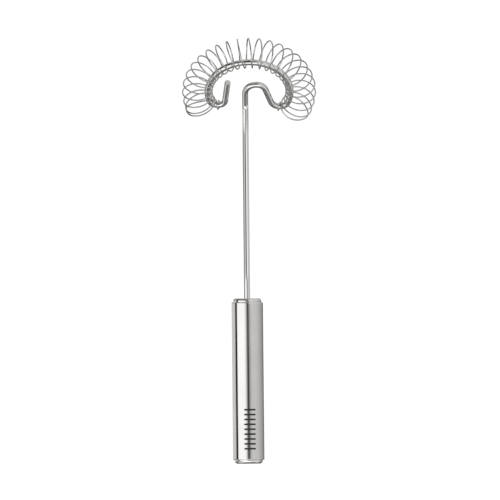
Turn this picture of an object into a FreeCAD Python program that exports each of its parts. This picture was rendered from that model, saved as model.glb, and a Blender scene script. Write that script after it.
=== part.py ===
import FreeCAD, Part
import math
import os
import Sketcher
from FreeCAD import Placement, Rotation, Vector

# Coil whisk, standing on the butt of its handle.
# Frame: +Z up along the handle, origin at the middle of the butt face, and the head leans
# towards -Y. All sizes are millimetres and degrees.

doc = FreeCAD.newDocument("coil_whisk")

# ---------------------------------------------------------------- driving dimensions

SIZES = {
    # handle: a thin tube whose two lips are rolled in over the shoulders of two pressed caps
    "handle_length": 105.0,
    "handle_radius": 10.0,
    "tube_wall": 0.8,
    "lip_radius": 8.95,
    "lip_rounding": 0.5,
    "cap_rise": 2.4,
    "cap_radius": 8.9,
    "cap_wall": 0.8,
    "cap_rounding": 1.3,
    "butt_rounding": 1.9,
    "cap_shoulder_radius": 9.15,
    "cap_shoulder_drop": 3.3,
    "cap_depth": 9.0,
    "cap_bore_radius": 7.9,
    "seat_gap": 0.1,
    # the two moulded plugs that hold the rod in the handle
    "plug_radius": 9.1,
    "plug_neck_radius": 7.8,
    "upper_plug_bottom": 84.0,
    "lower_plug_bottom": 20.0,
    "lower_plug_top": 42.0,
    "relief_radius": 1.6,
    "relief_circle": 5.6,
    "relief_depth": 8.0,
    "relief_count": 6.0,
    # rod: straight shaft with a flattened tail
    "rod_radius": 1.95,
    "rod_clearance": 0.05,
    "rod_tail": 22.0,
    "tail_width": 5.6,
    "tail_thickness": 2.4,
    "tail_height": 10.0,
    # rod: where the head leans forward, and its bends in the plane of the head
    "bend_height": 227.5,
    "lean_angle": 45.0,
    "lean_radius": 6.0,
    "neck_rise": 11.4,
    "neck_radius": 7.2,
    "neck_angle": 90.0,
    "crest_radius": 5.8,
    "limb_angle": 72.5,
    "limb_length": 11.9,
    "heel_radius": 6.0,
    "foot_radius": 5.2,
    "right_foot_angle": 67.3,
    "loop_radius": 26.4,
    "left_foot_angle": 72.7,
    "hook_run": 1.0,
    "hook_radius": 4.0,
    "hook_angle": 84.0,
    "hook_length": 17.0,
    # coil: a right-handed spring bent round the loop, with a small ring at each foot
    "wire_radius": 0.45,
    "coil_radius": 9.4,
    "spine_radius": 32.8,
    "turn_pitch": 10.15,
    "crown_angle": 0.9,
    "end_turns": 12.0,
    "closing_turns": 2.0,
    "left_closing": 0.26,
    "right_closing": 0.095,
    "end_growth": 0.4,
    "end_growth_turns": 1.6,
    "ring_radius": 2.75,
    "ring_turns": 0.875,
    "ring_angle": 6,
    "ring_pitch": 2.3,
    "dive_turns": 0.5,
    "left_dive": 1.8,
    "right_dive": 1.7,
    "rest_rock": -2.3,
}

sheet = doc.addObject("Spreadsheet::Sheet", "sizes")
for row, (alias, value) in enumerate(SIZES.items(), start=1):
    sheet.set("A%d" % row, alias)
    sheet.set("B%d" % row, str(value))
    sheet.setAlias("B%d" % row, alias)
doc.recompute()


def size(alias):
    """The value of one cell of the sheet."""
    return float(sheet.get(alias))


# ---------------------------------------------------------------- helpers for the turned parts


def new_body(name):
    """A PartDesign body with its label."""
    body = doc.addObject("PartDesign::Body", name)
    body.Label = name
    return body


def sketch_on(body, role, name):
    """A sketch of the body on one of the body's own origin planes."""
    plane = [item for item in body.Origin.OriginFeatures if item.Role == role][0]
    sketch = body.newObject("Sketcher::SketchObject", name)
    sketch.AttachmentSupport = [(plane, "")]
    sketch.MapMode = "FlatFace"
    return sketch


def place_corner(sketch, index, across, up):
    """Tie the start of one line of a sketch to formulas for its two coordinates."""
    ties = (("DistanceX", across, -2), ("DistanceY", up, -1))
    for kind, formula, axis in ties:
        if formula == "0":
            sketch.addConstraint(Sketcher.Constraint("PointOnObject", index, 1, axis))
            continue
        start = sheet.evalExpression(formula)
        number = sketch.addConstraint(Sketcher.Constraint(kind, -1, 1, index, 1, start))
        sketch.setExpression("Constraints[%d]" % number, formula)


def outline(sketch, corners):
    """A closed outline of straight lines whose corners are pairs of formulas."""
    points = [Vector(sheet.evalExpression(x), sheet.evalExpression(y), 0) for x, y in corners]
    following = points[1:] + points[:1]
    for start, end in zip(points, following):
        sketch.addGeometry(Part.LineSegment(start, end))
    count = len(points)
    for index in range(count):
        link = Sketcher.Constraint("Coincident", index, 2, (index + 1) % count, 1)
        sketch.addConstraint(link)
    for index, (across, up) in enumerate(corners):
        place_corner(sketch, index, across, up)


def turned(name, corners):
    """A body turned round the Z axis from a half section."""
    body = new_body(name)
    section = sketch_on(body, "XZ_Plane", name + "_section")
    outline(section, corners)
    turning = body.newObject("PartDesign::Revolution", name + "_turning")
    turning.Profile = section
    turning.ReferenceAxis = (section, ["V_Axis"])
    turning.Angle = 360.0
    doc.recompute()
    return body


SAME_CIRCLE = 1e-4  # mm: how closely an edge has to match the circle it is looked up by


def circle_edges(shape, radius, height):
    """Names of the edges that are full circles of this radius at this height."""
    names = []
    for number, edge in enumerate(shape.Edges, start=1):
        if not isinstance(edge.Curve, Part.Circle):
            continue
        off = abs(edge.Curve.Radius - radius) + abs(edge.Curve.Center.z - height)
        if off < SAME_CIRCLE:
            names.append("Edge%d" % number)
    return names


def round_off(body, circles, formula):
    """Round circular edges of a body, given as (radius, height) pairs of formulas."""
    before = body.Tip
    names = []
    for radius, height in circles:
        names += circle_edges(before.Shape, sheet.evalExpression(radius),
                              sheet.evalExpression(height))
    fillet = body.newObject("PartDesign::Fillet", body.Name + "_rounding")
    fillet.Base = (before, names)
    fillet.setExpression("Radius", formula)
    doc.recompute()


# ---------------------------------------------------------------- handle tube and its caps


def make_handle_tube():
    """The tube, with a narrower lip at each end that is rolled in over the cap's shoulder."""
    low, high = "sizes.cap_rise", "sizes.handle_length - sizes.cap_rise"
    outside, inside = "sizes.handle_radius", "sizes.handle_radius - sizes.tube_wall"
    low_inside = "sizes.cap_rise + sizes.tube_wall"
    high_inside = "sizes.handle_length - sizes.cap_rise - sizes.tube_wall"
    body = turned("handle_tube", [
        ("sizes.lip_radius", low), (outside, low), (outside, high), ("sizes.lip_radius", high),
        ("sizes.lip_radius", high_inside), (inside, high_inside),
        (inside, low_inside), ("sizes.lip_radius", low_inside)])
    round_off(body, [(outside, low), (outside, high)], "sizes.lip_rounding")
    return body


def make_top_cap():
    """The pressed cup that closes the upper end, with the hole that the rod comes out of."""
    top = "sizes.handle_length"
    hole = "sizes.rod_radius + sizes.rod_clearance"
    shoulder = "sizes.handle_length - sizes.cap_shoulder_drop"
    bottom = "sizes.handle_length - sizes.cap_depth"
    ceiling = "sizes.handle_length - sizes.cap_wall"
    body = turned("top_cap", [
        (hole, top), ("sizes.cap_radius", top), ("sizes.cap_radius", shoulder),
        ("sizes.cap_shoulder_radius", shoulder), ("sizes.cap_shoulder_radius", bottom),
        ("sizes.cap_bore_radius", bottom), ("sizes.cap_bore_radius", ceiling), (hole, ceiling)])
    round_off(body, [("sizes.cap_radius", top)], "sizes.cap_rounding")
    return body


def make_end_cap():
    """The same pressed cup the other way up and without a hole: its face is the butt."""
    shoulder, floor = "sizes.cap_shoulder_drop", "sizes.cap_wall"
    body = turned("end_cap", [
        ("0", "0"), ("sizes.cap_radius", "0"), ("sizes.cap_radius", shoulder),
        ("sizes.cap_shoulder_radius", shoulder),
        ("sizes.cap_shoulder_radius", "sizes.cap_depth"),
        ("sizes.cap_bore_radius", "sizes.cap_depth"), ("sizes.cap_bore_radius", floor),
        ("0", floor)])
    round_off(body, [("sizes.cap_radius", "0")], "sizes.butt_rounding")
    return body


# ---------------------------------------------------------------- plugs inside the handle


def relief_holes(body, height):
    """A ring of blind holes that lightens a plug, cut upwards from its lower face."""
    drill = sketch_on(body, "XY_Plane", body.Name + "_relief")
    centre = Vector(size("relief_circle"), 0, 0)
    drill.AttachmentOffset = Placement(Vector(0, 0, sheet.evalExpression(height)), Rotation())
    drill.addGeometry(Part.Circle(centre, Vector(0, 0, 1), size("relief_radius")))
    drill.addConstraint(Sketcher.Constraint("PointOnObject", 0, 3, -1))
    across = drill.addConstraint(Sketcher.Constraint("DistanceX", -1, 1, 0, 3, centre.x))
    drill.setExpression("Constraints[%d]" % across, "sizes.relief_circle")
    radius = drill.addConstraint(Sketcher.Constraint("Radius", 0, size("relief_radius")))
    drill.setExpression("Constraints[%d]" % radius, "sizes.relief_radius")
    pocket = body.newObject("PartDesign::Pocket", body.Name + "_relief_hole")
    pocket.Profile = drill
    pocket.Reversed = True
    pocket.setExpression("Length", "sizes.relief_depth")
    doc.recompute()
    ring = body.newObject("PartDesign::PolarPattern", body.Name + "_relief_ring")
    ring.Originals = [pocket]
    ring.Axis = (drill, ["N_Axis"])
    ring.Angle = 360.0
    ring.setExpression("Occurrences", "sizes.relief_count")
    body.Tip = ring
    doc.recompute()


def make_upper_plug():
    """The moulded plug under the top cap: its neck fills the cup and steadies the rod."""
    hole = "sizes.rod_radius + sizes.rod_clearance"
    top = "sizes.handle_length - sizes.cap_wall - sizes.seat_gap"
    step = "sizes.handle_length - sizes.cap_depth - sizes.seat_gap"
    bottom = "sizes.upper_plug_bottom"
    body = turned("upper_plug", [
        (hole, top), ("sizes.plug_neck_radius", top), ("sizes.plug_neck_radius", step),
        ("sizes.plug_radius", step), ("sizes.plug_radius", bottom), (hole, bottom)])
    relief_holes(body, bottom)
    return body


def make_lower_plug():
    """The moulded plug round the rod's tail, with the slot that holds the flattened tail."""
    hole = "sizes.rod_radius + sizes.rod_clearance"
    top, bottom = "sizes.lower_plug_top", "sizes.lower_plug_bottom"
    body = turned("lower_plug", [
        (hole, top), ("sizes.plug_radius", top), ("sizes.plug_radius", bottom), (hole, bottom)])
    slot = sketch_on(body, "XY_Plane", "tail_slot")
    slot.AttachmentOffset = Placement(Vector(0, 0, size("lower_plug_bottom")), Rotation())
    half_width = size("tail_width") / 2 + size("rod_clearance")
    half_depth = size("tail_thickness") / 2 + size("rod_clearance")
    corners = [Vector(-half_width, -half_depth, 0), Vector(half_width, -half_depth, 0),
               Vector(half_width, half_depth, 0), Vector(-half_width, half_depth, 0)]
    for start, end in zip(corners, corners[1:] + corners[:1]):
        slot.addGeometry(Part.LineSegment(start, end))
    for index in range(4):
        slot.addConstraint(Sketcher.Constraint("Coincident", index, 2, (index + 1) % 4, 1))
    for index in (0, 2):
        slot.addConstraint(Sketcher.Constraint("Horizontal", index))
        slot.addConstraint(Sketcher.Constraint("Vertical", index + 1))
    slot.addConstraint(Sketcher.Constraint("Symmetric", 0, 1, 1, 2, -1, 1))
    wide = slot.addConstraint(Sketcher.Constraint("DistanceX", 0, 1, 0, 2, 2 * half_width))
    slot.setExpression("Constraints[%d]" % wide, "sizes.tail_width + 2 * sizes.rod_clearance")
    deep = slot.addConstraint(Sketcher.Constraint("DistanceY", 1, 1, 1, 2, 2 * half_depth))
    slot.setExpression("Constraints[%d]" % deep, "sizes.tail_thickness + 2 * sizes.rod_clearance")
    pocket = body.newObject("PartDesign::Pocket", "tail_slot_cut")
    pocket.Profile = slot
    pocket.Reversed = True
    pocket.setExpression(
        "Length",
        "sizes.rod_tail + sizes.tail_height + sizes.rod_clearance - sizes.lower_plug_bottom")
    doc.recompute()
    relief_holes(body, bottom)
    return body


# ---------------------------------------------------------------- rod

LEAN = math.radians(size("lean_angle"))
ACROSS = Vector(1, 0, 0)
ALONG_HEAD = Vector(0, -math.sin(LEAN), math.cos(LEAN))
OUT_OF_HEAD = Vector(0, -math.cos(LEAN), -math.sin(LEAN))


class BentRod:
    """A centre line made of straight runs and tangent bends, as a wire bender makes it."""

    def __init__(self, start, heading):
        """Start at a point with a unit heading."""
        self.point = start
        self.heading = heading
        self.edges = []
        self.bends = {}

    def run(self, length):
        """A straight run."""
        end = self.point + self.heading * length
        self.edges.append(Part.LineSegment(self.point, end).toShape())
        self.point = end

    def bend(self, name, radius, angle, axis):
        """A tangent bend about an axis; a positive angle turns by the right-hand rule."""
        turn_sign = 1 if angle > 0 else -1
        centre = self.point + axis.cross(self.heading) * (turn_sign * radius)
        arm = self.point - centre
        middle = centre + Rotation(axis, angle / 2).multVec(arm)
        end = centre + Rotation(axis, angle).multVec(arm)
        self.edges.append(Part.Arc(self.point, middle, end).toShape())
        self.heading = Rotation(axis, angle).multVec(self.heading)
        self.bends[name] = centre
        self.point = end


def rod_centre_line():
    """The rod from its tail in the handle to the free end of its hook."""
    lean_setback = size("lean_radius") * math.tan(LEAN / 2)
    foot_turns = size("right_foot_angle") + size("left_foot_angle")
    rod = BentRod(Vector(0, 0, size("rod_tail")), Vector(0, 0, 1))
    rod.run(size("bend_height") - size("rod_tail") - lean_setback)
    rod.bend("lean", size("lean_radius"), size("lean_angle"), ACROSS)
    rod.run(size("neck_rise") - lean_setback)
    rod.bend("neck", size("neck_radius"), -size("neck_angle"), OUT_OF_HEAD)
    rod.bend("crest", size("crest_radius"), -size("limb_angle"), OUT_OF_HEAD)
    rod.run(size("limb_length"))
    rod.bend("heel", size("heel_radius"), size("limb_angle"), OUT_OF_HEAD)
    rod.bend("right_foot", size("foot_radius"), size("right_foot_angle"), OUT_OF_HEAD)
    rod.bend("loop", size("loop_radius"), 360 - foot_turns, OUT_OF_HEAD)
    rod.bend("left_foot", size("foot_radius"), size("left_foot_angle"), OUT_OF_HEAD)
    rod.run(size("hook_run"))
    rod.bend("hook", size("hook_radius"), size("hook_angle"), OUT_OF_HEAD)
    rod.run(size("hook_length"))
    return rod


def swept(name, path, start, heading, radius_cell):
    """A round bar swept along a path; its radius is bound to a cell."""
    spine = doc.addObject("Part::Feature", name + "_path")
    spine.Shape = path
    section = doc.addObject("Part::Circle", name + "_section")
    section.setExpression("Radius", "sizes." + radius_cell)
    section.Placement = Placement(start, Rotation(Vector(0, 0, 1), heading))
    bar = doc.addObject("Part::Sweep", name)
    bar.Sections = [section]
    bar.Spine = (spine, ["Edge%d" % (index + 1) for index in range(len(path.Edges))])
    bar.Solid = True
    bar.Frenet = False
    doc.recompute()
    return bar


def make_whisk_rod(rod):
    """The bent rod, fused with its flattened tail."""
    bar = swept("rod_bar", Part.Wire(rod.edges), Vector(0, 0, size("rod_tail")),
                Vector(0, 0, 1), "rod_radius")
    tail = doc.addObject("Part::Box", "rod_tail")
    tail.setExpression("Length", "sizes.tail_width")
    tail.setExpression("Width", "sizes.tail_thickness")
    tail.setExpression("Height", "sizes.tail_height")
    tail.setExpression("Placement.Base.x", "-sizes.tail_width / 2")
    tail.setExpression("Placement.Base.y", "-sizes.tail_thickness / 2")
    tail.setExpression("Placement.Base.z", "sizes.rod_tail")
    whole = doc.addObject("Part::Fuse", "whisk_rod")
    whole.Label = "whisk_rod"
    whole.Base = bar
    whole.Tool = tail
    doc.recompute()
    return whole


# ---------------------------------------------------------------- coil


ARCS_PER_TURN = 4  # pairs of tangent arcs that draw one turn of the wire
HEADING_STEP = 1e-4  # turns: the half step over which the wire's direction is taken
STRAIGHT = 1e-6  # radians: below this an arc is drawn as a line


def smooth_step(share):
    """0 below 0, 1 above 1, and an even S between them."""
    share = min(max(share, 0.0), 1.0)
    return share * share * (3 - 2 * share)


class CoilLine:
    """The centre line of the coil's wire, by turn number: 0 is at the crown of the loop.

    The wire winds round a spine. Over the middle turns the spine is an arc about the loop's
    centre with an even pitch, and over the closing turns the pitch shrinks. In the last half
    turn at each end the spine dives to the foot of the loop and the winding shrinks to a
    small ring round the rod.
    """

    def __init__(self, rod):
        """Take the centres of the loop and of both feet from the rod."""
        self.centre = rod.bends["loop"]
        self.left_foot = rod.bends["left_foot"]
        self.right_foot = rod.bends["right_foot"]
        self.end = size("end_turns")
        self.dive = size("dive_turns")
        self.full_end = self.end + self.dive + size("ring_turns")
        self.left_ring = self.on_foot(self.left_foot, -self.ring_lift(0.0))
        self.right_ring = self.on_foot(self.right_foot, self.ring_lift(0.0))

    def spine_angle(self, turn):
        """Degrees round the loop from its crown, with the pitch shrinking near both ends."""
        held = min(max(turn, -self.end), self.end)
        left_late = max(0.0, size("closing_turns") - self.end - held)
        right_late = max(0.0, held - self.end + size("closing_turns"))
        slack = size("left_closing") * left_late ** 2 - size("right_closing") * right_late ** 2
        return size("crown_angle") + size("turn_pitch") * (held + slack)

    def ring_lift(self, ring_turn):
        """Degrees from a foot's lowest point out to a ring, after some turns of the ring."""
        stacked = max(0.0, ring_turn) * size("ring_pitch") / size("foot_radius")
        return size("ring_angle") - math.degrees(stacked)

    def on_foot(self, foot, lift):
        """The place on a foot's bend that is a lift round from its lowest point."""
        return foot + Rotation(OUT_OF_HEAD, lift).multVec(ALONG_HEAD * -size("foot_radius"))

    def point(self, turn):
        """The place of the wire's centre at a turn number."""
        left = smooth_step((-self.end - turn) / self.dive)
        right = smooth_step((turn - self.end) / self.dive)
        middle = 1 - left - right
        angle = self.spine_angle(turn)
        outward = Rotation(OUT_OF_HEAD, -angle).multVec(ALONG_HEAD)
        spine = self.centre + outward * size("spine_radius")
        lift = self.ring_lift(abs(turn) - self.end - self.dive)
        spine = (spine * middle + self.on_foot(self.left_foot, -lift) * left
                 + self.on_foot(self.right_foot, lift) * right)
        spine = spine - ALONG_HEAD * (size("left_dive") * math.sin(math.pi * left))
        right_sag = (ALONG_HEAD + ACROSS) * (size("right_dive") * math.sqrt(0.5))
        spine = spine - right_sag * math.sin(math.pi * right)
        frame_angle = angle * middle + (180 - lift) * (right - left)
        outward = Rotation(OUT_OF_HEAD, -frame_angle).multVec(ALONG_HEAD)
        growth = size("end_growth") * smooth_step(abs(turn) - self.end
                                                  + size("end_growth_turns"))
        radius = (size("coil_radius") + growth) * middle
        radius += size("ring_radius") * (left + right)
        phase = 2 * math.pi * turn
        return spine + (outward * math.cos(phase) + OUT_OF_HEAD * math.sin(phase)) * radius

    def heading(self, turn):
        """The unit direction of the wire at a turn number."""
        ahead, behind = self.point(turn + HEADING_STEP), self.point(turn - HEADING_STEP)
        return (ahead - behind).normalize()


def arc_from(start, heading, end):
    """An arc that leaves a point along a heading and reaches another point."""
    chord = end - start
    side = heading - chord * (heading.dot(chord) / chord.dot(chord))
    half = chord.getAngle(heading)
    if half < STRAIGHT:
        return Part.LineSegment(start, end).toShape()
    rise = side.normalize() * (chord.Length / 2 * math.tan(half / 2))
    return Part.Arc(start, start + chord * 0.5 + rise, end).toShape()


def twin_arcs(start, start_heading, end, end_heading):
    """Two arcs, tangent where they meet, that join two points with given headings."""
    gap = end - start
    both = start_heading + end_heading
    curve = 2 * (1 - start_heading.dot(end_heading))
    along = gap.dot(both)
    reach = (math.sqrt(along * along + curve * gap.dot(gap)) - along) / curve
    joint = (start + end + (start_heading - end_heading) * reach) * 0.5
    second = arc_from(end, end_heading * -1, joint)
    halfway = second.valueAt((second.FirstParameter + second.LastParameter) / 2)
    return [arc_from(start, start_heading, joint), Part.Arc(joint, halfway, end).toShape()]


def make_whisk_coil(line):
    """The coil's wire, swept along a path of tangent arcs."""
    count = round(2 * line.full_end * ARCS_PER_TURN)
    turns = [-line.full_end + 2 * line.full_end * index / count for index in range(count + 1)]
    edges = []
    for start, end in zip(turns, turns[1:]):
        edges += twin_arcs(line.point(start), line.heading(start),
                           line.point(end), line.heading(end))
    path = Part.Wire(edges)
    coil = swept("whisk_coil", path, line.point(turns[0]), line.heading(turns[0]), "wire_radius")
    coil.Label = "whisk_coil"
    hinge = line.right_ring - line.left_ring
    coil.Placement = Placement(Vector(), Rotation(hinge, size("rest_rock")), line.left_ring)
    print("coil: path %.1f mm, section x length %.2f, volume %.2f" % (
        path.Length, math.pi * size("wire_radius") ** 2 * path.Length, coil.Shape.Volume))
    return coil


# ---------------------------------------------------------------- build, check and write

rod_line = rod_centre_line()
coil_line = CoilLine(rod_line)
parts = [
    make_handle_tube(),
    make_top_cap(),
    make_end_cap(),
    make_upper_plug(),
    make_lower_plug(),
    make_whisk_rod(rod_line),
    make_whisk_coil(coil_line),
]
doc.recompute()

for item in doc.Objects:
    if "Invalid" in item.State or "Error" in item.State:
        raise RuntimeError("%s failed: %s" % (item.Label, item.State))
os.makedirs("parts", exist_ok=True)
for item in parts:
    if item.Shape.isNull() or not item.Shape.isValid():
        raise RuntimeError("%s has no valid shape" % item.Label)
    print("%-12s %9.2f mm3, %d solid(s)" % (item.Label, item.Shape.Volume, len(item.Shape.Solids)))
    item.Shape.exportStep("parts/%s.step" % item.Label)
print("hinge from %s to %s" % (coil_line.left_ring, coil_line.right_ring))
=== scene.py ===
import logging
import math
from dataclasses import dataclass, field
from enum import Enum
from typing import Any

import bpy
import numpy as np
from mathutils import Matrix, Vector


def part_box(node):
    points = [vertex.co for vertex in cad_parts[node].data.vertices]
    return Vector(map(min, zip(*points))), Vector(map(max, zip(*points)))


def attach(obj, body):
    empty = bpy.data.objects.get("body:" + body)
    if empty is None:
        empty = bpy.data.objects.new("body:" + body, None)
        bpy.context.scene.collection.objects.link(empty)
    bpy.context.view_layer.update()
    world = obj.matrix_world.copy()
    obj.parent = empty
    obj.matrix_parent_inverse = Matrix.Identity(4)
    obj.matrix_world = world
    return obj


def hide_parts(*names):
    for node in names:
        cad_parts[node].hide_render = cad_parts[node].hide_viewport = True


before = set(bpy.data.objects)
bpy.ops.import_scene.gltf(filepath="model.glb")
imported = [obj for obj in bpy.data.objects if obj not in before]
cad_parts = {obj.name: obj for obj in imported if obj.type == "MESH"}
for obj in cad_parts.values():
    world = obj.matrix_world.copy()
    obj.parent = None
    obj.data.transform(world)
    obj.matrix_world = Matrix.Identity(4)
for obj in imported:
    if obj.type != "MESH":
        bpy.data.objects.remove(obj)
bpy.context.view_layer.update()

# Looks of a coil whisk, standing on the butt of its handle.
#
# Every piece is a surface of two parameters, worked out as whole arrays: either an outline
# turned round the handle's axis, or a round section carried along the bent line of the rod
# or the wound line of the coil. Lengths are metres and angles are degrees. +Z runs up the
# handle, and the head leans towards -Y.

LAY_MAP = "lay"  # the UV map that the finishes follow: across and along the piece, in metres
MM = 0.001
TURN_COLUMNS = 160  # points round a turned piece
ARC_POINTS = 7  # points of the arc at a corner of an outline
FLAT_HOLD = 0.12 * MM  # how far past that arc the side's own point is, at most
BAR_END_ROWS = 6  # rows of the rounded end of a bar
OCTAVE_SHARE = 0.55  # how much of a noise goes on into its next finer octave

Socket = bpy.types.NodeSocket
Span = tuple[float, float]
Triple = tuple[float, float, float]
Array = np.ndarray
Piece = bpy.types.Object
Stops = tuple[Span, ...]

log = logging.getLogger("whisk")


class Body(Enum):
    """The bodies that pieces ride on."""

    HANDLE = "handle"
    COIL = "coil"


class Lay(Enum):
    """Which way the fine lines of a finish run on a piece."""

    ALONG = "along"
    AROUND = "around"


# ---- surfaces


def unit(vectors: Array) -> Array:
    """Vectors divided by their own lengths."""
    return vectors / np.linalg.norm(vectors, axis=-1, keepdims=True)


def ring_angles(columns: int) -> Array:
    """The angles of points spread evenly round a turn, in radians."""
    return np.linspace(0, 2 * math.pi, columns, endpoint=False)


def girth(radius: float, columns: int) -> Array:
    """Distances round a circle to each of its columns, and once more at the seam."""
    return np.linspace(0, 2 * math.pi * radius, columns + 1)


def travelled(points: Array) -> Array:
    """The distance of each point from the first, measured from point to point."""
    steps = np.linalg.norm(np.diff(points, axis=0), axis=1)
    return np.concatenate([[0], np.cumsum(steps)])


def turned_about(vectors: Array, axis: Array, degrees: Array | float) -> Array:
    """Turn vectors about an axis by the right-hand rule.

    Rodrigues' formula: v cos a + (k x v) sin a + k (k . v)(1 - cos a).

    Args:
        vectors: One vector, or rows of them.
        axis: The unit axis k.
        degrees: The angle a, one for all or one for each row.

    Returns:
        The turned vectors, in the shape that the two arguments broadcast to.
    """
    angle = np.radians(np.asarray(degrees, float))[..., None]
    along = np.asarray(vectors @ axis)[..., None] * axis
    return vectors * np.cos(angle) + np.cross(axis, vectors) * np.sin(angle) + along * (
        1 - np.cos(angle))


@dataclass
class Line3D:
    """A line in space with a frame at each of its points, for a section to follow."""

    points: Array
    headings: Array
    normals: Array
    lengths: Array


@dataclass
class Shell:
    """A mesh put together from grids of points, with the UV map of its lay."""

    name: str
    points: list[Array] = field(default_factory=list)
    faces: list[list[int]] = field(default_factory=list)
    lays: list[Array] = field(default_factory=list)
    count: int = 0

    def grid(self, points: Array, across: Array, along: Array,
             rows_closed: bool = False) -> int:
        """Add a grid whose columns close on themselves, facing (next column) x (next row).

        Args:
            points: Rows by columns by 3.
            across: The lay's coordinate at each column, and once more at the seam.
            along: The lay's coordinate at each row, and once more if rows close.
            rows_closed: Whether the last row joins the first.

        Returns:
            The number of the grid's first point.
        """
        rows, columns = points.shape[:2]
        first = self.count
        row, column = np.meshgrid(np.arange(rows if rows_closed else rows - 1),
                                  np.arange(columns), indexing="ij")
        row, column = row.ravel(), column.ravel()
        corners = ((row, column), (row, column + 1), (row + 1, column + 1), (row + 1, column))
        quads = np.stack([first + (r % rows) * columns + c % columns for r, c in corners], 1)
        lay = np.stack([np.stack([across[c], along[r]], 1) for r, c in corners], 1)
        self.points.append(points.reshape(-1, 3))
        self.faces += quads.tolist()
        self.lays.append(lay.reshape(-1, 2))
        self.count += rows * columns
        return first

    def pole(self, point: Array, ring: int, across: Array, along: float,
             after: bool) -> None:
        """Close the end of a grid with a fan of triangles round one point.

        Args:
            point: The pole.
            ring: The number of the first point of the row it closes.
            across: The lay's coordinate at each column, and once more at the seam.
            along: The lay's coordinate at the pole.
            after: Whether the pole follows the row, rather than comes before it.
        """
        columns = len(across) - 1
        column = np.arange(columns)
        here, following = ring + column, ring + (column + 1) % columns
        top = np.full(columns, self.count)
        order = (here, following, top) if after else (following, here, top)
        middle = (across[:-1] + across[1:]) / 2
        sides = (across[:-1], across[1:]) if after else (across[1:], across[:-1])
        lay = np.stack([np.stack([u, np.full(columns, along)], 1)
                        for u in (*sides, middle)], 1)
        self.points.append(point[None])
        self.faces += np.stack(order, 1).tolist()
        self.lays.append(lay.reshape(-1, 2))
        self.count += 1

    def bar(self, points: Array, across: Array, along: Array,
            poles: tuple[Array, Array]) -> None:
        """Add a grid with a pole at each end.

        Args:
            points: Rows by columns by 3.
            across: The lay's coordinate at each column, and once more at the seam.
            along: The lay's coordinate at each row.
            poles: The point before the first row and the point after the last.
        """
        first = self.grid(points, across, along)
        last = first + (len(points) - 1) * points.shape[1]
        self.pole(poles[0], first, across, along[0], after=False)
        self.pole(poles[1], last, across, along[-1], after=True)

    def sweep(self, line: Line3D, section: Array, radius: float) -> None:
        """Add a bar: a section carried along a line.

        The point at the angle t of the section is C + s(t) (N cos t + B sin t), with C the
        line's point, N its normal, B = heading x N, and s the section's radius there.

        Args:
            line: The line to follow.
            section: The section's radius, rows by columns.
            radius: The bar's radius, for the lay.
        """
        columns = section.shape[1]
        angle = ring_angles(columns)[None, :, None]
        binormals = np.cross(line.headings, line.normals)
        rim = line.normals[:, None] * np.cos(angle) + binormals[:, None] * np.sin(angle)
        self.bar(line.points[:, None] + rim * section[:, :, None], girth(radius, columns),
                 line.lengths, (line.points[0], line.points[-1]))

    def build(self) -> Piece:
        """Make the mesh, smooth all over, at the origin.

        Returns:
            Its piece.
        """
        mesh = bpy.data.meshes.new(self.name)
        mesh.from_pydata(np.concatenate(self.points).tolist(), [], self.faces)
        mesh.polygons.foreach_set("use_smooth", np.ones(len(self.faces), bool))
        lay = mesh.uv_layers.new(name=LAY_MAP)
        lay.data.foreach_set("uv", np.concatenate(self.lays).astype(np.float32).ravel())
        mesh.validate()
        mesh.update()
        piece = bpy.data.objects.new(self.name, mesh)
        bpy.context.scene.collection.objects.link(piece)
        return piece


def rounded_outline(corners: list[Triple]) -> Array:
    """A closed outline with an arc at every corner.

    Its points are complex numbers, radius + i height. At a corner P the heading turns by
    the angle w, from h to k. The arc of radius r starts at A = P - h r tan|w/2|, its centre
    C lies r to the side of A that w turns to, and its point at the share t is
    C + (A - C) e^(i t w). One more point a little way along each side keeps the shading of
    the flat flat.

    Args:
        corners: Radius, height and rounding of each corner, anticlockwise.

    Returns:
        Rows of radius and height.
    """
    table = np.array(corners)
    point, rounding = table[:, 0] + 1j * table[:, 1], table[:, 2]
    side = np.roll(point, -1) - point
    ahead = side / np.abs(side)
    heading = np.roll(ahead, 1)
    turn = np.angle(ahead / heading)
    reach = rounding * np.tan(np.abs(turn) / 2)
    start = point - heading * reach
    centre = start + 1j * np.sign(turn) * heading * rounding
    spin = np.exp(1j * turn[:, None] * np.linspace(0, 1, ARC_POINTS))
    arc = centre[:, None] + (start - centre)[:, None] * spin
    hold = np.minimum(FLAT_HOLD, (np.abs(side) - reach - np.roll(reach, -1)) / 3)
    before, after = arc[:, 0] - heading * np.roll(hold, 1), arc[:, -1] + ahead * hold
    outline = np.concatenate([before[:, None], arc, after[:, None]], 1).ravel()
    return np.stack([outline.real, outline.imag], 1)


def revolved(outline: Array, columns: int = TURN_COLUMNS) -> Array:
    """Turn an outline round the handle's axis.

    The point at height z and radius r of the outline and at the angle t is
    (r cos t, r sin t, z).

    Args:
        outline: Rows of radius and height.
        columns: How many points the turn has.

    Returns:
        Rows by columns by 3.
    """
    angle = ring_angles(columns)
    radius, height = outline[:, :1], outline[:, 1:]
    return np.stack([radius * np.cos(angle), radius * np.sin(angle),
                     np.broadcast_to(height, (len(outline), columns))], 2)


def turned_ring(name: str, outline: Array) -> Piece:
    """Turn a closed outline round the handle's axis.

    Args:
        name: The piece's name.
        outline: Rows of radius and height.

    Returns:
        The piece.
    """
    shell = Shell(name)
    shell.grid(revolved(outline), girth(outline[:, 0].max(), TURN_COLUMNS),
               travelled(np.concatenate([outline, outline[:1]])), rows_closed=True)
    return shell.build()


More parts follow.
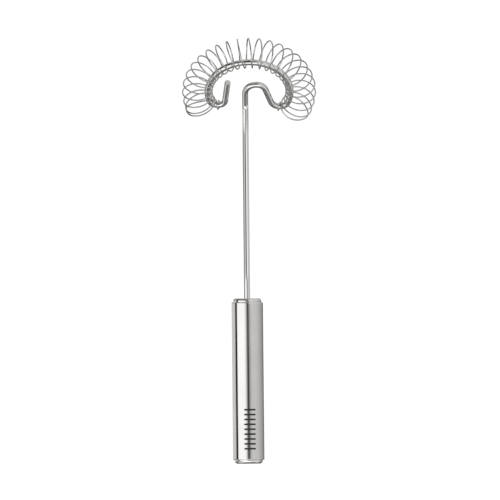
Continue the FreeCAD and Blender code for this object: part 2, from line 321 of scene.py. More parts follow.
def end_rounding(lengths: Array, radius: float, rounding: float) -> Array:
    """The radius along a bar whose two ends are rounded off.

    Within the rounding q of an end, at the distance d from it, the radius is
    r - q + sqrt(q^2 - (q - d)^2).

    Args:
        lengths: The distance of each row from the start.
        radius: The bar's radius r.
        rounding: The rounding q.

    Returns:
        The radius of each row.
    """
    near = np.minimum(lengths - lengths[0], lengths[-1] - lengths)
    short = np.clip(rounding - near, 0, rounding)
    return radius - rounding + np.sqrt(rounding ** 2 - short ** 2)


def end_rows(rounding: float) -> Array:
    """Distances from an end at which a rounding q has its rows: q (1 - cos a)."""
    return rounding * (1 - np.cos(np.linspace(0, math.pi / 2, BAR_END_ROWS)))


# ---- finishes


class Network:
    """A node tree being put together, node by node."""

    def __init__(self, tree: bpy.types.NodeTree) -> None:
        """Start from an empty tree."""
        self.tree = tree
        self.tree.nodes.clear()

    def feed(self, target: Socket, value: Any) -> None:
        """Set an input.

        Args:
            target: The input.
            value: An output for it to follow, or a plain value.
        """
        if isinstance(value, Socket):
            self.tree.links.new(value, target)
        else:
            target.default_value = value

    def node(self, kind: str, **values: Any) -> bpy.types.Node:
        """Add a node.

        Args:
            kind: Blender's name for the node's type.
            **values: Settings of the node, or feeds of the inputs of that name, with _ for
                a space.

        Returns:
            The node.
        """
        made = self.tree.nodes.new(kind)
        for name, value in values.items():
            if hasattr(made, name):
                setattr(made, name, value)
            else:
                self.feed(made.inputs[name.replace("_", " ")], value)
        return made

    def maths(self, operation: str, *values: Socket | float) -> Socket:
        """One step of arithmetic.

        Args:
            operation: Blender's name for it.
            values: What it works on.

        Returns:
            The result.
        """
        step = self.node("ShaderNodeMath", operation=operation)
        for value, socket in zip(values, step.inputs):
            self.feed(socket, value)
        return step.outputs["Value"]

    def place(self, space: str) -> Socket:
        """The coordinates of one of Blender's spaces, such as Object."""
        return self.node("ShaderNodeTexCoord").outputs[space]

    def coordinates(self, space: str) -> list[Socket]:
        """The same, taken apart into x, y and z."""
        return list(self.node("ShaderNodeSeparateXYZ", Vector=self.place(space)).outputs)

    def azimuth(self, x: Socket, y: Socket) -> Socket:
        """Degrees round the Z axis from -Y, positive towards +X: atan2(x, -y)."""
        turn = self.maths("ARCTAN2", x, self.maths("MULTIPLY", y, -1.0))
        return self.maths("DEGREES", turn)

    def ranged(self, source: Socket, start: float = 0.0, end: float = 1.0,
               low: float = 0.0, high: float = 1.0) -> Socket:
        """Spread a value that runs from start to end over the range low to high.

        Args:
            source: The value.
            start: Its lower limit.
            end: Its upper limit.
            low: What start becomes.
            high: What end becomes.

        Returns:
            The spread value.
        """
        return self.node("ShaderNodeMapRange", Value=source, From_Min=start, From_Max=end,
                         To_Min=low, To_Max=high).outputs["Result"]

    def shades(self, source: Socket, limit: float, tint: Triple, stops: Stops) -> Socket:
        """Turn a value between -limit and limit into shades of one tint.

        Args:
            source: The value.
            limit: The largest size it has.
            tint: The colour of brightness 1.
            stops: Pairs of a value and how bright it is, in rising order.

        Returns:
            The colour.
        """
        ramp = self.node("ShaderNodeValToRGB", Fac=self.ranged(source, -limit, limit))
        elements = ramp.color_ramp.elements
        for index, (value, bright) in enumerate(stops):
            at = value / limit / 2 + 0.5
            stop = elements[index] if index < 2 else elements.new(at)
            stop.position = at
            stop.color = (*(bright * part for part in tint), 1.0)
        return ramp.outputs["Color"]

    def blend(self, share: Socket, first: Socket | tuple, second: Socket | tuple) -> Socket:
        """Go from one colour to another.

        Args:
            share: 0 for the first colour and 1 for the second.
            first: A colour or an output that gives one.
            second: The same.

        Returns:
            The colour between them.
        """
        mix = self.node("ShaderNodeMix", data_type="RGBA", Factor=share)
        sockets = [socket for socket in mix.inputs if socket.type == "RGBA"]
        for socket, colour in zip(sockets, (first, second)):
            self.feed(socket, colour)
        return [socket for socket in mix.outputs if socket.type == "RGBA"][0]


class Recipe(Network):
    """A material being put together."""

    def __init__(self, name: str) -> None:
        """Start from a shader and its output.

        Args:
            name: The material's name.
        """
        self.material = bpy.data.materials.new(name)
        self.material.use_nodes = True
        super().__init__(self.material.node_tree)
        self.shader = self.node("ShaderNodeBsdfPrincipled")
        self.node("ShaderNodeOutputMaterial", Surface=self.shader.outputs["BSDF"])

    def shade(self, **values: Any) -> None:
        """Feed the shader's inputs, each by its name with _ for a space."""
        for name, value in values.items():
            self.feed(self.shader.inputs[name.replace("_", " ")], value)

    def noise(self, place: Socket, stretch: Triple,
              turn: float = 0.0, detail: float = 3.0) -> Socket:
        """Noise with its own stretch.

        Args:
            place: The coordinates.
            stretch: How many grains there are to a metre along each of them.
            turn: Degrees that the coordinates are turned by first.
            detail: The noise's detail.

        Returns:
            The noise, about 0.5 on average.
        """
        mapping = self.node("ShaderNodeMapping", vector_type="POINT", Vector=place,
                            Scale=stretch, Rotation=(0.0, 0.0, math.radians(turn)))
        return self.node("ShaderNodeTexNoise", Vector=mapping.outputs["Vector"], Scale=1.0,
                         Detail=detail, Roughness=OCTAVE_SHARE).outputs["Fac"]

    def bump(self, height: Socket, depth: float, under: Socket | None = None) -> Socket:
        """Raise the surface by a height.

        Args:
            height: The height, from 0 to 1.
            depth: What 1 stands for, in metres.
            under: The normal that this one lies on.

        Returns:
            The new normal.
        """
        raised = self.node("ShaderNodeBump", Strength=1.0, Distance=depth, Height=height)
        if under is not None:
            self.feed(raised.inputs["Normal"], under)
        return raised.outputs["Normal"]


@dataclass(frozen=True)
class Steel:
    """Polished steel with drawn or turned lines, handling marks and hairline scratches."""

    name: str
    colour: Triple
    polish: float = 0.055
    dulled: float = 0.10
    lay: Lay = Lay.ALONG
    line_width: float = 0.12 * MM
    line_length: float = 14 * MM
    line_depth: float = 0.00025 * MM
    line_sheen: Span = (-0.015, 0.025)
    band_width: float = 1.3 * MM
    band_length: float = 90 * MM
    scratch_depth: float = 0.0004 * MM
    scratch_stretch: Span = (0.9, 5.0)  # grains for each of the lines', across and along
    scratch_turns: Span = (24.0, -37.0)
    smudge_size: float = 16 * MM
    shade_drop: float = 0.05

    # the parts of each noise's range that show
    SCRATCHED = (0.66, 0.72)
    TONED = (1.15, 1.85)
    HANDLED = (0.35, 0.7)
    LINED = (0.3, 0.7)

    def stretch(self, width: float, length: float) -> Triple:
        """Grains to a metre of each lay coordinate, for marks of a width and a length."""
        fine, long = 1 / width, 1 / length
        return (fine, long, 1.0) if self.lay is Lay.ALONG else (long, fine, 1.0)

    def material(self) -> bpy.types.Material:
        """Mix the finish.

        The smudges, lines and bands together vary the shade. The polish is dulled where it
        has been handled and along the lines.

        Returns:
            The material.
        """
        recipe = Recipe(self.name)
        lay = recipe.node("ShaderNodeUVMap", uv_map=LAY_MAP).outputs["UV"]
        lines = recipe.noise(lay, self.stretch(self.line_width, self.line_length), detail=4.0)
        smudge = recipe.noise(recipe.place("Object"), (1 / self.smudge_size,) * 3, detail=5.0)
        bands = recipe.noise(lay, self.stretch(self.band_width, self.band_length), detail=2.0)
        tone = recipe.maths("ADD", recipe.maths("ADD", smudge, lines), bands)
        dark = tuple(part * (1 - self.shade_drop) for part in self.colour)
        colour = recipe.blend(recipe.ranged(tone, *self.TONED), (*dark, 1.0),
                              (*self.colour, 1.0))
        handled = recipe.ranged(smudge, *self.HANDLED, self.polish, self.dulled)
        streak = recipe.ranged(lines, *self.LINED, *self.line_sheen)
        normal = recipe.bump(lines, self.line_depth)
        fine, long = self.scratch_stretch
        hair = (fine / self.line_width, long / self.line_length, 1.0)
        for turn in self.scratch_turns:
            hairs = recipe.noise(lay, hair, turn=turn, detail=1.0)
            depth = recipe.ranged(hairs, *self.SCRATCHED, 1.0, 0.0)
            normal = recipe.bump(depth, self.scratch_depth, normal)
        recipe.shade(Metallic=1.0, Base_Color=colour, Normal=normal,
                     Roughness=recipe.maths("ADD", handled, streak))
        return recipe.material


@dataclass(frozen=True)
class Etching:
    """Steel darkened by a laser: dull, with the beam's fine raster across it."""

    dark: Triple = (0.018, 0.018, 0.019)
    light: Triple = (0.060, 0.058, 0.055)
    metal: float = 0.4
    raster: float = 0.08 * MM
    raster_stretch: float = 8.0
    raster_depth: float = 0.004 * MM
    dulled: Span = (0.42, 0.62)

    BURNT = (0.35, 0.75)  # the part of the raster's range that shows

    def material(self) -> bpy.types.Material:
        """Mix the finish.

        Returns:
            The material.
        """
        recipe = Recipe("laser_etching")
        fine = 1 / self.raster
        wide = fine / self.raster_stretch
        lines = recipe.noise(recipe.place("Object"), (wide, wide, fine), detail=2.0)
        colour = recipe.blend(recipe.ranged(lines, *self.BURNT), (*self.dark, 1.0),
                              (*self.light, 1.0))
        recipe.shade(Metallic=self.metal, Base_Color=colour,
                     Roughness=recipe.ranged(lines, 0.0, 1.0, *self.dulled),
                     Normal=recipe.bump(lines, self.raster_depth))
        return recipe.material


@dataclass(frozen=True)
class MouldedPlastic:
    """Dull moulded plastic with a fine pebbled skin."""

    dark: Triple = (0.056, 0.056, 0.064)
    light: Triple = (0.084, 0.084, 0.096)
    pebble: float = 0.35 * MM
    pebble_depth: float = 0.02 * MM
    cloud: float = 7 * MM
    dulled: Span = (0.45, 0.65)

    def material(self) -> bpy.types.Material:
        """Mix the finish.

        Returns:
            The material.
        """
        recipe = Recipe("moulded_plastic")
        place = recipe.place("Object")
        pebbles = recipe.noise(place, (1 / self.pebble,) * 3, detail=4.0)
        cloud = recipe.noise(place, (1 / self.cloud,) * 3)
        recipe.shade(Base_Color=recipe.blend(cloud, (*self.dark, 1.0), (*self.light, 1.0)),
                     Roughness=recipe.ranged(pebbles, 0.0, 1.0, *self.dulled),
                     Normal=recipe.bump(pebbles, self.pebble_depth))
        return recipe.material


def dress(piece: Piece, finish: bpy.types.Material) -> None:
    """Give a piece one material, in place of any it has.

    Args:
        piece: The piece.
        finish: Its material.
    """
    if piece.material_slots:
        for slot in piece.material_slots:
            slot.material = finish
    else:
        piece.data.materials.append(finish)


def settle(piece: Piece, finish: bpy.types.Material, body: Body,
           node: str | None = None) -> None:
    """Dress a piece and say what it is.

    Args:
        piece: The piece.
        finish: Its material.
        body: The body it rides on.
        node: The node that it stands for, if any.
    """
    dress(piece, finish)
    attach(piece, body.value)
    if node is not None:
        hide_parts(node)
    log.info("%s: %d faces, rides on %s", piece.name, len(piece.data.polygons), body.value)


# ---- handle


@dataclass
class Handle:
    """The tube, its two pressed caps, the bars etched on it and the plugs inside."""

    cap_rise: float = 2.4 * MM
    tube_wall: float = 0.8 * MM
    lip_radius: float = 8.95 * MM
    lip_rounding: float = 0.5 * MM
    cap_radius: float = 8.9 * MM
    cap_wall: float = 0.8 * MM
    cap_rounding: float = 1.3 * MM
    butt_rounding: float = 1.9 * MM
    shoulder_radius: float = 9.15 * MM
    shoulder_drop: float = 3.3 * MM
    cap_depth: float = 9.0 * MM
    cap_bore: float = 7.9 * MM
    rod_hole: float = 2.0 * MM
    hole_rounding: float = 0.25 * MM
    break_edge: float = 0.08 * MM
    bar_count: int = 9
    bar_pitch: float = 3.1 * MM
    bar_height: float = 1.1 * MM
    bar_width: float = 7.6 * MM
    bar_depth: float = 0.015 * MM
    bar_reach: float = 0.99  # how near a bar's very end its last row is
    bar_rows: int = 41
    bar_columns: int = 24
    bars_middle_height: float = 21.9 * MM
    bars_turn: float = 6.0

    def __post_init__(self) -> None:
        """Take the tube's radius and the handle's two ends from the CAD nodes."""
        low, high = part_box("handle_tube")
        self.radius = (high.x - low.x) / 2
        self.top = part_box("top_cap")[1].z
        self.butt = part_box("end_cap")[0].z

    def tube(self) -> Piece:
        """The tube, rolled in at both ends over the shoulders of the caps.

        Returns:
            The piece.
        """
        low, high = self.butt + self.cap_rise, self.top - self.cap_rise
        wall, edge = self.tube_wall, self.break_edge
        inside = self.radius - wall
        outline = rounded_outline([
            (self.lip_radius, low, 2 * edge), (self.radius, low, self.lip_rounding),
            (self.radius, high, self.lip_rounding), (self.lip_radius, high, 2 * edge),
            (self.lip_radius, high - wall, edge), (inside, high - wall, edge),
            (inside, low + wall, edge), (self.lip_radius, low + wall, edge)])
        return turned_ring("tube", outline)

    def top_cap(self) -> Piece:
        """The cup in the upper end, with its edge turned down into the rod's hole.

        Returns:
            The piece.
        """
        top, edge = self.top, self.break_edge
        outline = rounded_outline([
            (self.rod_hole, top, self.hole_rounding),
            (self.rod_hole, top - self.cap_wall, edge),
            (self.cap_bore, top - self.cap_wall, edge),
            (self.cap_bore, top - self.cap_depth, edge),
            (self.shoulder_radius, top - self.cap_depth, edge),
            (self.shoulder_radius, top - self.shoulder_drop, edge),
            (self.cap_radius, top - self.shoulder_drop, edge),
            (self.cap_radius, top, self.cap_rounding)])
        return turned_ring("top_cup", outline)

    def end_cap(self) -> Piece:
        """The cup in the lower end, whose closed face is the butt.

        Returns:
            The piece.
        """
        low, edge = self.butt, self.break_edge
        outline = rounded_outline([
            (0.0, low, edge), (self.cap_radius, low, self.butt_rounding),
            (self.cap_radius, low + self.shoulder_drop, edge),
            (self.shoulder_radius, low + self.shoulder_drop, edge),
            (self.shoulder_radius, low + self.cap_depth, edge),
            (self.cap_bore, low + self.cap_depth, edge),
            (self.cap_bore, low + self.cap_wall, edge), (0.0, low + self.cap_wall, edge)])
        outline = outline[outline[:, 0] > 2 * edge]
        bottom, inside = (np.array([0.0, 0.0, height]) for height in outline[[0, -1], 1])
        shell = Shell("butt_cup")
        shell.bar(revolved(outline), girth(self.cap_radius, TURN_COLUMNS), travelled(outline),
                  (bottom, inside))
        return shell.build()

    def etched_bars(self) -> Piece:
        """A column of plain bars: thin pads bent round the tube.

        A bar follows an arc of the tube, and its section is a flat superellipse of the
        radius (|cos t / a|^4 + |sin t / b|^4)^(-1/4). Half its height b shrinks towards its
        two ends as sqrt(1 - x^2), with x running from 0 to 1 over the last b of the bar.

        Returns:
            The piece.
        """
        shell = Shell("etched_bars")
        half = self.bar_height / 2
        end = self.bar_width / 2
        place = end * np.sin(np.linspace(-math.pi / 2, math.pi / 2, self.bar_rows)
                              * self.bar_reach)
        turn = math.radians(self.bars_turn - 90) + place / self.radius
        outward = np.stack([np.cos(turn), np.sin(turn), 0 * turn], 1)
        headings = np.stack([-np.sin(turn), np.cos(turn), 0 * turn], 1)
        past = np.clip((np.abs(place) - end + half) / half, 0, 1)
        taper = np.sqrt(1 - past ** 2)[:, None]
        angle = ring_angles(self.bar_columns)[None, :]
        section = ((np.cos(angle) / self.bar_depth) ** 4
                   + (np.sin(angle) / (half * taper)) ** 4) ** -0.25
        for index in range(self.bar_count):
            step = self.bar_pitch * (index - (self.bar_count - 1) / 2)
            centre = np.array([0.0, 0.0, self.bars_middle_height + step])
            line = Line3D(centre + outward * self.radius, headings, outward, place)
            shell.sweep(line, section, half)
        return shell.build()

    def build(self) -> None:
        """Make, dress and settle the handle's pieces."""
        bright = (0.80, 0.793, 0.78)
        drawn = Steel("drawn_steel", bright, shade_drop=0.13).material()
        pressed = Steel("pressed_steel", bright, polish=0.07, dulled=0.12,
                        lay=Lay.AROUND, line_depth=0.0003 * MM).material()
        for piece, node, finish in ((self.tube(), "handle_tube", drawn),
                                    (self.top_cap(), "top_cap", pressed),
                                    (self.end_cap(), "end_cap", pressed)):
            settle(piece, finish, Body.HANDLE, node)
        settle(self.etched_bars(), Etching().material(), Body.HANDLE)
        plastic = MouldedPlastic().material()
        for node in ("upper_plug", "lower_plug"):
            dress(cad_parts[node], plastic)
            log.info("%s: its own solid, in plastic", node)


# ---- rod


# the plane of the head leans forward from the handle's axis. These point to the right
# seen from the front, up along the plane, and out of it, forwards and down
LEAN = 45.0
ACROSS = np.array([1.0, 0.0, 0.0])
UP = turned_about(np.array([0.0, 0.0, 1.0]), ACROSS, LEAN)
OUT = turned_about(np.array([0.0, -1.0, 0.0]), ACROSS, LEAN)


class BentLine:
    """The rod's centre line as a bender makes it: straight runs and tangent bends."""

    STEP = 3.0  # degrees of bend from one row to the next
    RUN_ROWS = np.array([0.03, 0.97])  # shares of a straight run at which it has rows
    TINY = 1e-6

    def __init__(self, start: Array, heading: Array) -> None:
        """Start the line.

        Args:
            start: Its first point.
            heading: The unit vector that it sets off along.
        """
        self.point, self.heading, self.length = start, heading, 0.0
        self.rows: list[tuple[Array, Array, Array]] = []
        self.centres: dict[str, Array] = {}

    def run(self, length: float, rows: Array | None = None) -> None:
        """A straight run: the point at the distance s is P + s h.

        Args:
            length: How long the run is.
            rows: The distances at which it has rows, or None for one near each end.
        """
        at = self.RUN_ROWS * length if rows is None else rows
        points = self.point + at[:, None] * self.heading
        headings = np.broadcast_to(self.heading, points.shape)
        self.rows.append((points, headings, self.length + at))
        self.point = self.point + length * self.heading
        self.length += length

    def bend(self, name: str, radius: float, degrees: float, axis: Array) -> None:
        """A tangent bend: the arm from its centre turns about the axis.

        Args:
            name: What the bend is called.
            radius: The bend's radius.
            degrees: How far it turns; positive turns by the right-hand rule.
            axis: The unit axis of the bend.
        """
        centre = self.point + np.cross(axis, self.heading) * math.copysign(radius, degrees)
        angle = np.linspace(0, degrees, max(2, round(abs(degrees) / self.STEP)) + 1)
        arms = turned_about(self.point - centre, axis, angle)
        headings = turned_about(self.heading, axis, angle)
        self.rows.append((centre + arms, headings,
                          self.length + np.radians(np.abs(angle)) * radius))
        self.point, self.heading = centre + arms[-1], headings[-1]
        self.length += math.radians(abs(degrees)) * radius
        self.centres[name] = centre

    def joined(self) -> Line3D:
        """All rows as one line, each place once.

        The frame's normal is the axis of the lean while the rod is in the handle's plane,
        and (minus the head's normal) x heading in the head's.

        Returns:
            The line.
        """
        points, headings, lengths = (np.concatenate(part) for part in zip(*self.rows))
        keep = np.concatenate([[True], np.diff(lengths) > self.TINY * MM])
        points, headings, lengths = points[keep], headings[keep], lengths[keep]
        in_head = np.abs(headings @ ACROSS) > self.TINY
        normals = np.where(in_head[:, None], np.cross(-OUT, headings), ACROSS)
        return Line3D(points, headings, unit(normals), lengths)


@dataclass
class WhiskRod:
    """One rod: the shaft, the hump beside it, the loop and the hook that ends it."""

    radius: float = 1.95 * MM
    end_rounding: float = 0.5 * MM
    tail_width: float = 5.6 * MM
    tail_thickness: float = 2.4 * MM
    tail_height: float = 10.0 * MM
    bend_height: float = 227.5 * MM
    lean_radius: float = 6.0 * MM
    neck_rise: float = 11.4 * MM
    neck_radius: float = 7.2 * MM
    neck_angle: float = 90.0
    crest_radius: float = 5.8 * MM
    limb_angle: float = 72.5
    limb_length: float = 11.9 * MM
    heel_radius: float = 6.0 * MM
    foot_radius: float = 5.2 * MM
    right_foot_angle: float = 67.3
    loop_radius: float = 26.4 * MM
    left_foot_angle: float = 72.7
    hook_run: float = 1.0 * MM
    hook_radius: float = 4.0 * MM
    hook_angle: float = 84.0
    hook_length: float = 17.0 * MM
    row_margin: float = 0.3 * MM
    columns: int = 48

    def line(self) -> BentLine:
        """Bend the rod from its tail to the end of its hook.

        Returns:
            Its middle line, with a name for every bend.
        """
        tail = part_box("whisk_rod")[0].z
        lean_setback = self.lean_radius * math.tan(math.radians(LEAN) / 2)
        shaft = self.bend_height - tail - lean_setback
        ends = end_rows(self.end_rounding)
        rod = BentLine(np.array([0.0, 0.0, tail]), np.array([0.0, 0.0, 1.0]))
        tail_rows = np.array([0.9999, 1.0001]) * self.tail_height  # just below and above it
        rod.run(shaft, np.concatenate([ends, tail_rows, [shaft / 2, shaft - self.row_margin]]))
        rod.bend("lean", self.lean_radius, LEAN, ACROSS)
        rod.run(self.neck_rise - lean_setback)
        rod.bend("neck", self.neck_radius, -self.neck_angle, OUT)
        rod.bend("crest", self.crest_radius, -self.limb_angle, OUT)
        rod.run(self.limb_length)
        rod.bend("heel", self.heel_radius, self.limb_angle, OUT)
        rod.bend("right_foot", self.foot_radius, self.right_foot_angle, OUT)
        rod.bend("loop", self.loop_radius,
                 360 - self.right_foot_angle - self.left_foot_angle, OUT)
        rod.bend("left_foot", self.foot_radius, self.left_foot_angle, OUT)
        rod.run(self.hook_run)
        rod.bend("hook", self.hook_radius, self.hook_angle, OUT)
        rod.run(self.hook_length,
                np.concatenate([[self.row_margin], self.hook_length - ends[::-1]]))
        return rod

    def section(self, lengths: Array) -> Array:
        """The section's radius at every row and column.

        It is the bar's radius, and in the tail the larger of that and the polar radius
        min(w / 2|cos t|, d / 2|sin t|) of the flattened part.

        Args:
            lengths: The distance of each row from the tail's end.

        Returns:
            Rows by columns.
        """
        angle = ring_angles(self.columns) + 1e-6  # so that no sine or cosine is 0
        flat = np.minimum(self.tail_width / 2 / np.abs(np.cos(angle)),
                          self.tail_thickness / 2 / np.abs(np.sin(angle)))
        bar = end_rounding(lengths, self.radius, self.end_rounding)[:, None]
        trim = bar / self.radius
        in_tail = (lengths < self.tail_height)[:, None]
        return np.where(in_tail, np.maximum(bar, flat[None, :] * trim), bar)

    def build(self) -> BentLine:
        """Make, dress and settle the rod.

        Returns:
            Its centre line, which the coil is wound round.
        """
        bent = self.line()
        line = bent.joined()
        shell = Shell("rod")
        shell.sweep(line, self.section(line.lengths), self.radius)
        steel = Steel("rod_steel", (0.78, 0.775, 0.765), polish=0.035, dulled=0.065,
                      line_width=0.1 * MM, smudge_size=9 * MM)
        settle(shell.build(), steel.material(), Body.HANDLE, "whisk_rod")
        return bent


# ---- coil


def smooth_step(share: Array) -> Array:
    """0 below 0, 1 above 1, and an even S between them: x^2 (3 - 2x)."""
    share = np.clip(share, 0, 1)
    return share * share * (3 - 2 * share)


@dataclass
class WhiskCoil:
    """The spring wire wound round the loop, with a ring round the rod at each foot."""

    wire_radius: float = 0.45 * MM
    coil_radius: float = 9.4 * MM
    spine_radius: float = 32.8 * MM
    turn_pitch: float = 10.15
    crown_angle: float = 0.9
    end_turns: float = 12.0
    closing_turns: float = 2.0
    left_closing: float = 0.26
    right_closing: float = 0.095
    end_growth: float = 0.4 * MM
    end_growth_turns: float = 1.6
    foot_radius: float = 5.2 * MM
    ring_radius: float = 2.75 * MM
    ring_turns: float = 0.875
    ring_angle: float = 6.0
    ring_pitch: float = 2.3 * MM
    dive_turns: float = 0.5
    left_dive: float = 1.8 * MM
    right_dive: float = 1.7 * MM
    rest_rock: float = -2.3
    end_rounding: float = 0.15 * MM
    rows_per_turn: int = 72
    columns: int = 12

    TIP_ROWS = np.array([0.0006, 0.002, 0.005])  # turns from an end, where it is rounded
    HEADING_STEP = 1e-4  # turns to either side of a row that its heading is taken over

    def spine_angle(self, turn: Array) -> Array:
        """Degrees round the loop from its crown.

        c + p (n + a l^2 - b r^2): the pitch p times the turn number n, with l and r the
        turns past the place where the pitch begins to close at the left and the right.

        Args:
            turn: Turn numbers.

        Returns:
            The angles.
        """
        held = np.clip(turn, -self.end_turns, self.end_turns)
        left = np.maximum(0, self.closing_turns - self.end_turns - held)
        right = np.maximum(0, held - self.end_turns + self.closing_turns)
        slack = self.left_closing * left ** 2 - self.right_closing * right ** 2
        return self.crown_angle + self.turn_pitch * (held + slack)

    def on_foot(self, side: str, lift: Array | float, rod: BentLine) -> Array:
        """Places on a foot's bend, turned outwards from its lowest point.

        The arm from the foot's centre, which points down the head, turns about the head's
        normal by the lift.

        Args:
            side: "left" or "right".
            lift: Degrees outwards.
            rod: The rod's bends.

        Returns:
            The places.
        """
        turn = lift if side == "right" else -np.asarray(lift)
        arm = turned_about(-UP * self.foot_radius, OUT, turn)
        return rod.centres[side + "_foot"] + arm

    def wire(self, turn: Array, rod: BentLine) -> tuple[Array, Array]:
        """The middle of the wire and of the spine it winds round.

        The wire is at S + R (u cos 2 pi n + k sin 2 pi n), with S the spine, k the head's
        normal and u the spine's outward direction. In the half turn before the ring at
        each end S goes over from the arc to the foot's bend, u turns to point down, and R
        shrinks to the ring's radius.

        Args:
            turn: Turn numbers, 0 at the crown.
            rod: The rod's bends.

        Returns:
            The wire's points and the spine's, before the coil is rocked to its rest.
        """
        left, right = (smooth_step((side * turn - self.end_turns) / self.dive_turns)[:, None]
                       for side in (-1, 1))
        middle = 1 - left - right
        angle = self.spine_angle(turn)
        outward = turned_about(UP, OUT, -angle)
        spine = rod.centres["loop"] + outward * self.spine_radius
        past = np.maximum(0, np.abs(turn) - self.end_turns - self.dive_turns)
        lift = self.ring_angle - np.degrees(past * self.ring_pitch / self.foot_radius)
        spine = (spine * middle + self.on_foot("left", lift, rod) * left
                 + self.on_foot("right", lift, rod) * right)
        spine = spine - UP * self.left_dive * np.sin(math.pi * left)
        spine = spine - unit(UP + ACROSS) * self.right_dive * np.sin(math.pi * right)
        facing = angle * middle[:, 0] + (180 - lift) * (right - left)[:, 0]
        outward = turned_about(UP, OUT, -facing)
        growth = self.end_growth * smooth_step(
            np.abs(turn) - self.end_turns + self.end_growth_turns)[:, None]
        radius = (self.coil_radius + growth) * middle + self.ring_radius * (left + right)
        phase = 2 * math.pi * turn[:, None]
        return spine + radius * (outward * np.cos(phase) + OUT * np.sin(phase)), spine

    def line(self, rod: BentLine) -> Line3D:
        """The wire's line at rest, with the frame turned towards the spine.

        Args:
            rod: The rod's bends.

        Returns:
            The line.
        """
        last = self.end_turns + self.dive_turns + self.ring_turns
        count = round(2 * last * self.rows_per_turn) + 1
        turn = np.linspace(-last, last, count)
        turn = np.sort(np.concatenate([turn, self.TIP_ROWS - last, last - self.TIP_ROWS]))
        points, spine = self.wire(turn, rod)
        ahead, behind = turn + self.HEADING_STEP, turn - self.HEADING_STEP
        headings = unit(self.wire(ahead, rod)[0] - self.wire(behind, rod)[0])
        away = points - spine
        normals = unit(away - headings * np.sum(away * headings, axis=1)[:, None])
        left = self.on_foot("left", self.ring_angle, rod)
        hinge = unit(self.on_foot("right", self.ring_angle, rod) - left)
        points, headings, normals = (turned_about(rows, hinge, self.rest_rock)
                                     for rows in (points - left, headings, normals))
        return Line3D(left + points, headings, normals, travelled(points))

    def build(self, rod: BentLine) -> None:
        """Make, dress and settle the coil.

        Args:
            rod: The rod's bends.
        """
        line = self.line(rod)
        radius = end_rounding(line.lengths, self.wire_radius, self.end_rounding)
        section = np.broadcast_to(radius[:, None], (len(radius), self.columns))
        shell = Shell("coil")
        shell.sweep(line, section, self.wire_radius)
        steel = Steel("spring_wire", (0.64, 0.635, 0.622), polish=0.06, dulled=0.11,
                      line_width=0.06 * MM, line_length=6 * MM, smudge_size=5 * MM,
                      shade_drop=0.12)
        settle(shell.build(), steel.material(), Body.COIL, "whisk_coil")


# ---- studio


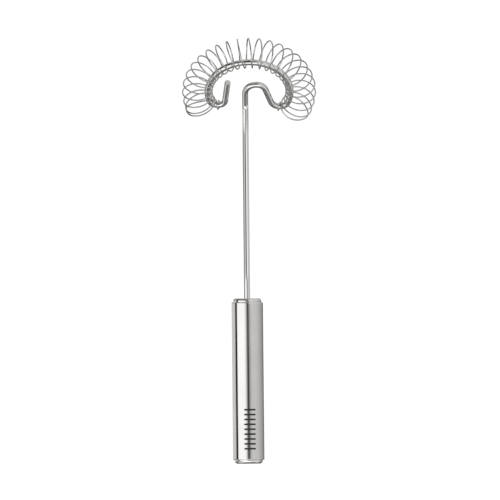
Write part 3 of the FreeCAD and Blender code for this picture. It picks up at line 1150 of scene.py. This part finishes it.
@dataclass
class Studio:
    """A pale floor, a tent of soft white panels round it, and the camera."""

    floor_radius: float = 0.9
    floor_hole: float = 0.27
    floor_columns: int = 96
    floor_shade: float = 0.9
    distance: float = 1.5
    frame_width: float = 0.3175
    look_at: Triple = (0.0021, 0.0, 0.1357)
    roll: float = 0.56
    top_panel: float = 1.0
    top_height: float = 1.3
    top_power: float = 16.0
    tint: Triple = (0.5, 0.498, 0.496)
    glow: float = 2.0
    backdrop: float = 1.05
    # how bright the tent is round the handle, by the direction in degrees: 0 towards the
    # camera and positive to the right. White panels with thin dark gaps between them
    around: Stops = (
        (-180, 0.66), (-150, 0.70), (-115, 0.76), (-103, 0.58), (-98, 0.01), (-84, 0.01),
        (-79, 1.20), (-60, 1.27), (-26, 1.27), (-17, 1.08), (-10, 0.66), (-3, 0.20),
        (2, 0.03), (5, 0.03), (10, 0.26), (17, 0.47), (24, 0.64), (32, 0.70), (48, 0.70),
        (80, 0.64), (100, 0.52), (127, 0.38), (150, 0.19), (180, 0.12))
    # the same on a ring of cards that stands round the shaft, nearer than the tent
    cards: Stops = (
        (-180, 0.30), (-110, 0.28), (-85, 0.35), (-68, 0.80), (-46, 0.75), (-30, 0.25),
        (-15, 0.02), (-7, 0.02), (2, 0.50), (10, 1.30), (30, 1.20), (45, 0.72), (70, 0.68),
        (140, 0.60), (180, 0.50))
    cards_radius: float = 0.5
    cards_low: float = 0.118
    cards_high: float = 0.212
    cards_thickness: float = 0.002
    # how bright it is above and below that belt, by the height of the direction's unit
    # vector: in front, at the left, at the right and at the back
    front: Stops = (
        (-1, 0.2), (-0.88, 0.12), (-0.82, 1.0), (-0.6, 1.5), (-0.1, 1.5), (0.0, 0.9),
        (0.08, 0.01), (0.72, 0.01), (0.84, 0.45), (1, 0.62))
    left: Stops = (
        (-1, 0.2), (-0.8, 0.3), (-0.2, 0.5), (0.05, 0.5), (0.12, 0.02), (0.65, 0.02),
        (0.8, 0.45), (1, 0.62))
    right: Stops = (
        (-1, 0.2), (-0.86, 0.2), (-0.7, 0.8), (0.2, 0.85), (0.7, 0.7), (1, 0.62))
    back: Stops = (
        (-1, 0.12), (-0.6, 0.08), (-0.35, 0.2), (0.1, 0.4), (0.7, 0.55), (1, 0.62))
    # where the belt goes over to these, by height, and one of these to the next: from left
    # to front and front to right by x, and from them to the back by y
    belt_edge: Span = (0.12, 0.2)
    left_edge: Span = (-0.85, -0.6)
    right_edge: Span = (0.12, 0.4)
    back_edge: Span = (0.25, 0.5)

    def floor(self) -> None:
        """A round pale floor at height 0: a flat ring with a fan in its hole."""
        ring = np.array([[self.floor_radius, 0.0], [self.floor_hole, 0.0]])
        seam = girth(self.floor_radius, self.floor_columns)
        shell = Shell("floor")
        first = shell.grid(revolved(ring, self.floor_columns), seam, np.array([0.0, 1.0]))
        shell.pole(np.zeros(3), first + self.floor_columns, seam, 1.0, after=True)
        piece = shell.build()
        recipe = Recipe("pale_floor")
        recipe.shade(Base_Color=(*(self.floor_shade,) * 3, 1.0), Specular_IOR_Level=0.0)
        dress(piece, recipe.material)
        piece.visible_glossy = False

    def tent(self) -> None:
        """The tent of panels as a world, plain white where the camera sees it."""
        world = bpy.data.worlds.new("tent")
        bpy.context.scene.world = world
        world.use_nodes = True
        sky = Network(world.node_tree)
        x, y, z = sky.coordinates("Generated")
        level = sky.shades(sky.azimuth(x, y), 180.0, self.tint, self.around)
        front, left, right, back = (
            sky.shades(z, 1.0, self.tint, stops)
            for stops in (self.front, self.left, self.right, self.back))
        sides = sky.blend(sky.ranged(x, *self.left_edge), left, front)
        sides = sky.blend(sky.ranged(x, *self.right_edge), sides, right)
        hood = sky.blend(sky.ranged(y, *self.back_edge), sides, back)
        steep = sky.ranged(sky.maths("ABSOLUTE", z), *self.belt_edge)
        lit = sky.node("ShaderNodeBackground", Color=sky.blend(steep, level, hood),
                       Strength=self.glow)
        plain = sky.node("ShaderNodeBackground", Color=(1.0, 1.0, 1.0, 1.0),
                         Strength=self.backdrop)
        choice = sky.node("ShaderNodeMixShader")
        seen = sky.node("ShaderNodeLightPath").outputs["Is Camera Ray"]
        for socket, source in zip(choice.inputs, (seen, lit.outputs[0], plain.outputs[0])):
            sky.feed(socket, source)
        sky.node("ShaderNodeOutputWorld", Surface=choice.outputs["Shader"])

    def shaft_cards(self) -> None:
        """A ring of lit cards round the shaft, which only reflections see."""
        inner, outer = self.cards_radius, self.cards_radius + self.cards_thickness
        corners = ((inner, self.cards_low), (outer, self.cards_low),
                   (outer, self.cards_high), (inner, self.cards_high))
        piece = turned_ring("shaft_cards", np.array(corners))
        material = bpy.data.materials.new("lit_cards")
        material.use_nodes = True
        paint = Network(material.node_tree)
        x, y, _ = paint.coordinates("Object")
        glow = paint.node("ShaderNodeEmission", Strength=self.glow, Color=paint.shades(
            paint.azimuth(x, y), 180.0, self.tint, self.cards))
        paint.node("ShaderNodeOutputMaterial", Surface=glow.outputs["Emission"])
        dress(piece, material)
        piece.visible_camera = piece.visible_diffuse = piece.visible_shadow = False

    def panel_light(self) -> None:
        """One soft panel overhead."""
        data = bpy.data.lights.new("top_panel", "AREA")
        data.shape, data.size, data.energy = "SQUARE", self.top_panel, self.top_power
        lamp = bpy.data.objects.new("top_panel", data)
        lamp.location = (0.0, 0.0, self.top_height)
        lamp.visible_camera = lamp.visible_glossy = False
        bpy.context.scene.collection.objects.link(lamp)

    def camera(self) -> None:
        """Level with the middle of the whisk and straight in front, with no perspective."""
        data = bpy.data.cameras.new("camera")
        data.type, data.ortho_scale = "ORTHO", self.frame_width
        eye = bpy.data.objects.new("camera", data)
        eye.location = (self.look_at[0], self.look_at[1] - self.distance, self.look_at[2])
        eye.rotation_euler = (math.pi / 2, math.radians(self.roll), 0.0)
        bpy.context.scene.collection.objects.link(eye)
        bpy.context.scene.camera = eye

    def build(self) -> None:
        """Set the stage."""
        self.floor()
        self.tent()
        self.shaft_cards()
        self.panel_light()
        self.camera()
        bpy.context.scene.view_settings.view_transform = "Standard"
        log.info("studio: floor, tent, cards, panel and camera")


def main() -> None:
    """Build every sub-assembly in order."""
    logging.basicConfig(level=logging.INFO, format="%(message)s")
    Handle().build()
    rod = WhiskRod().build()
    WhiskCoil().build(rod)
    Studio().build()


if __name__ == "__main__":
    main()
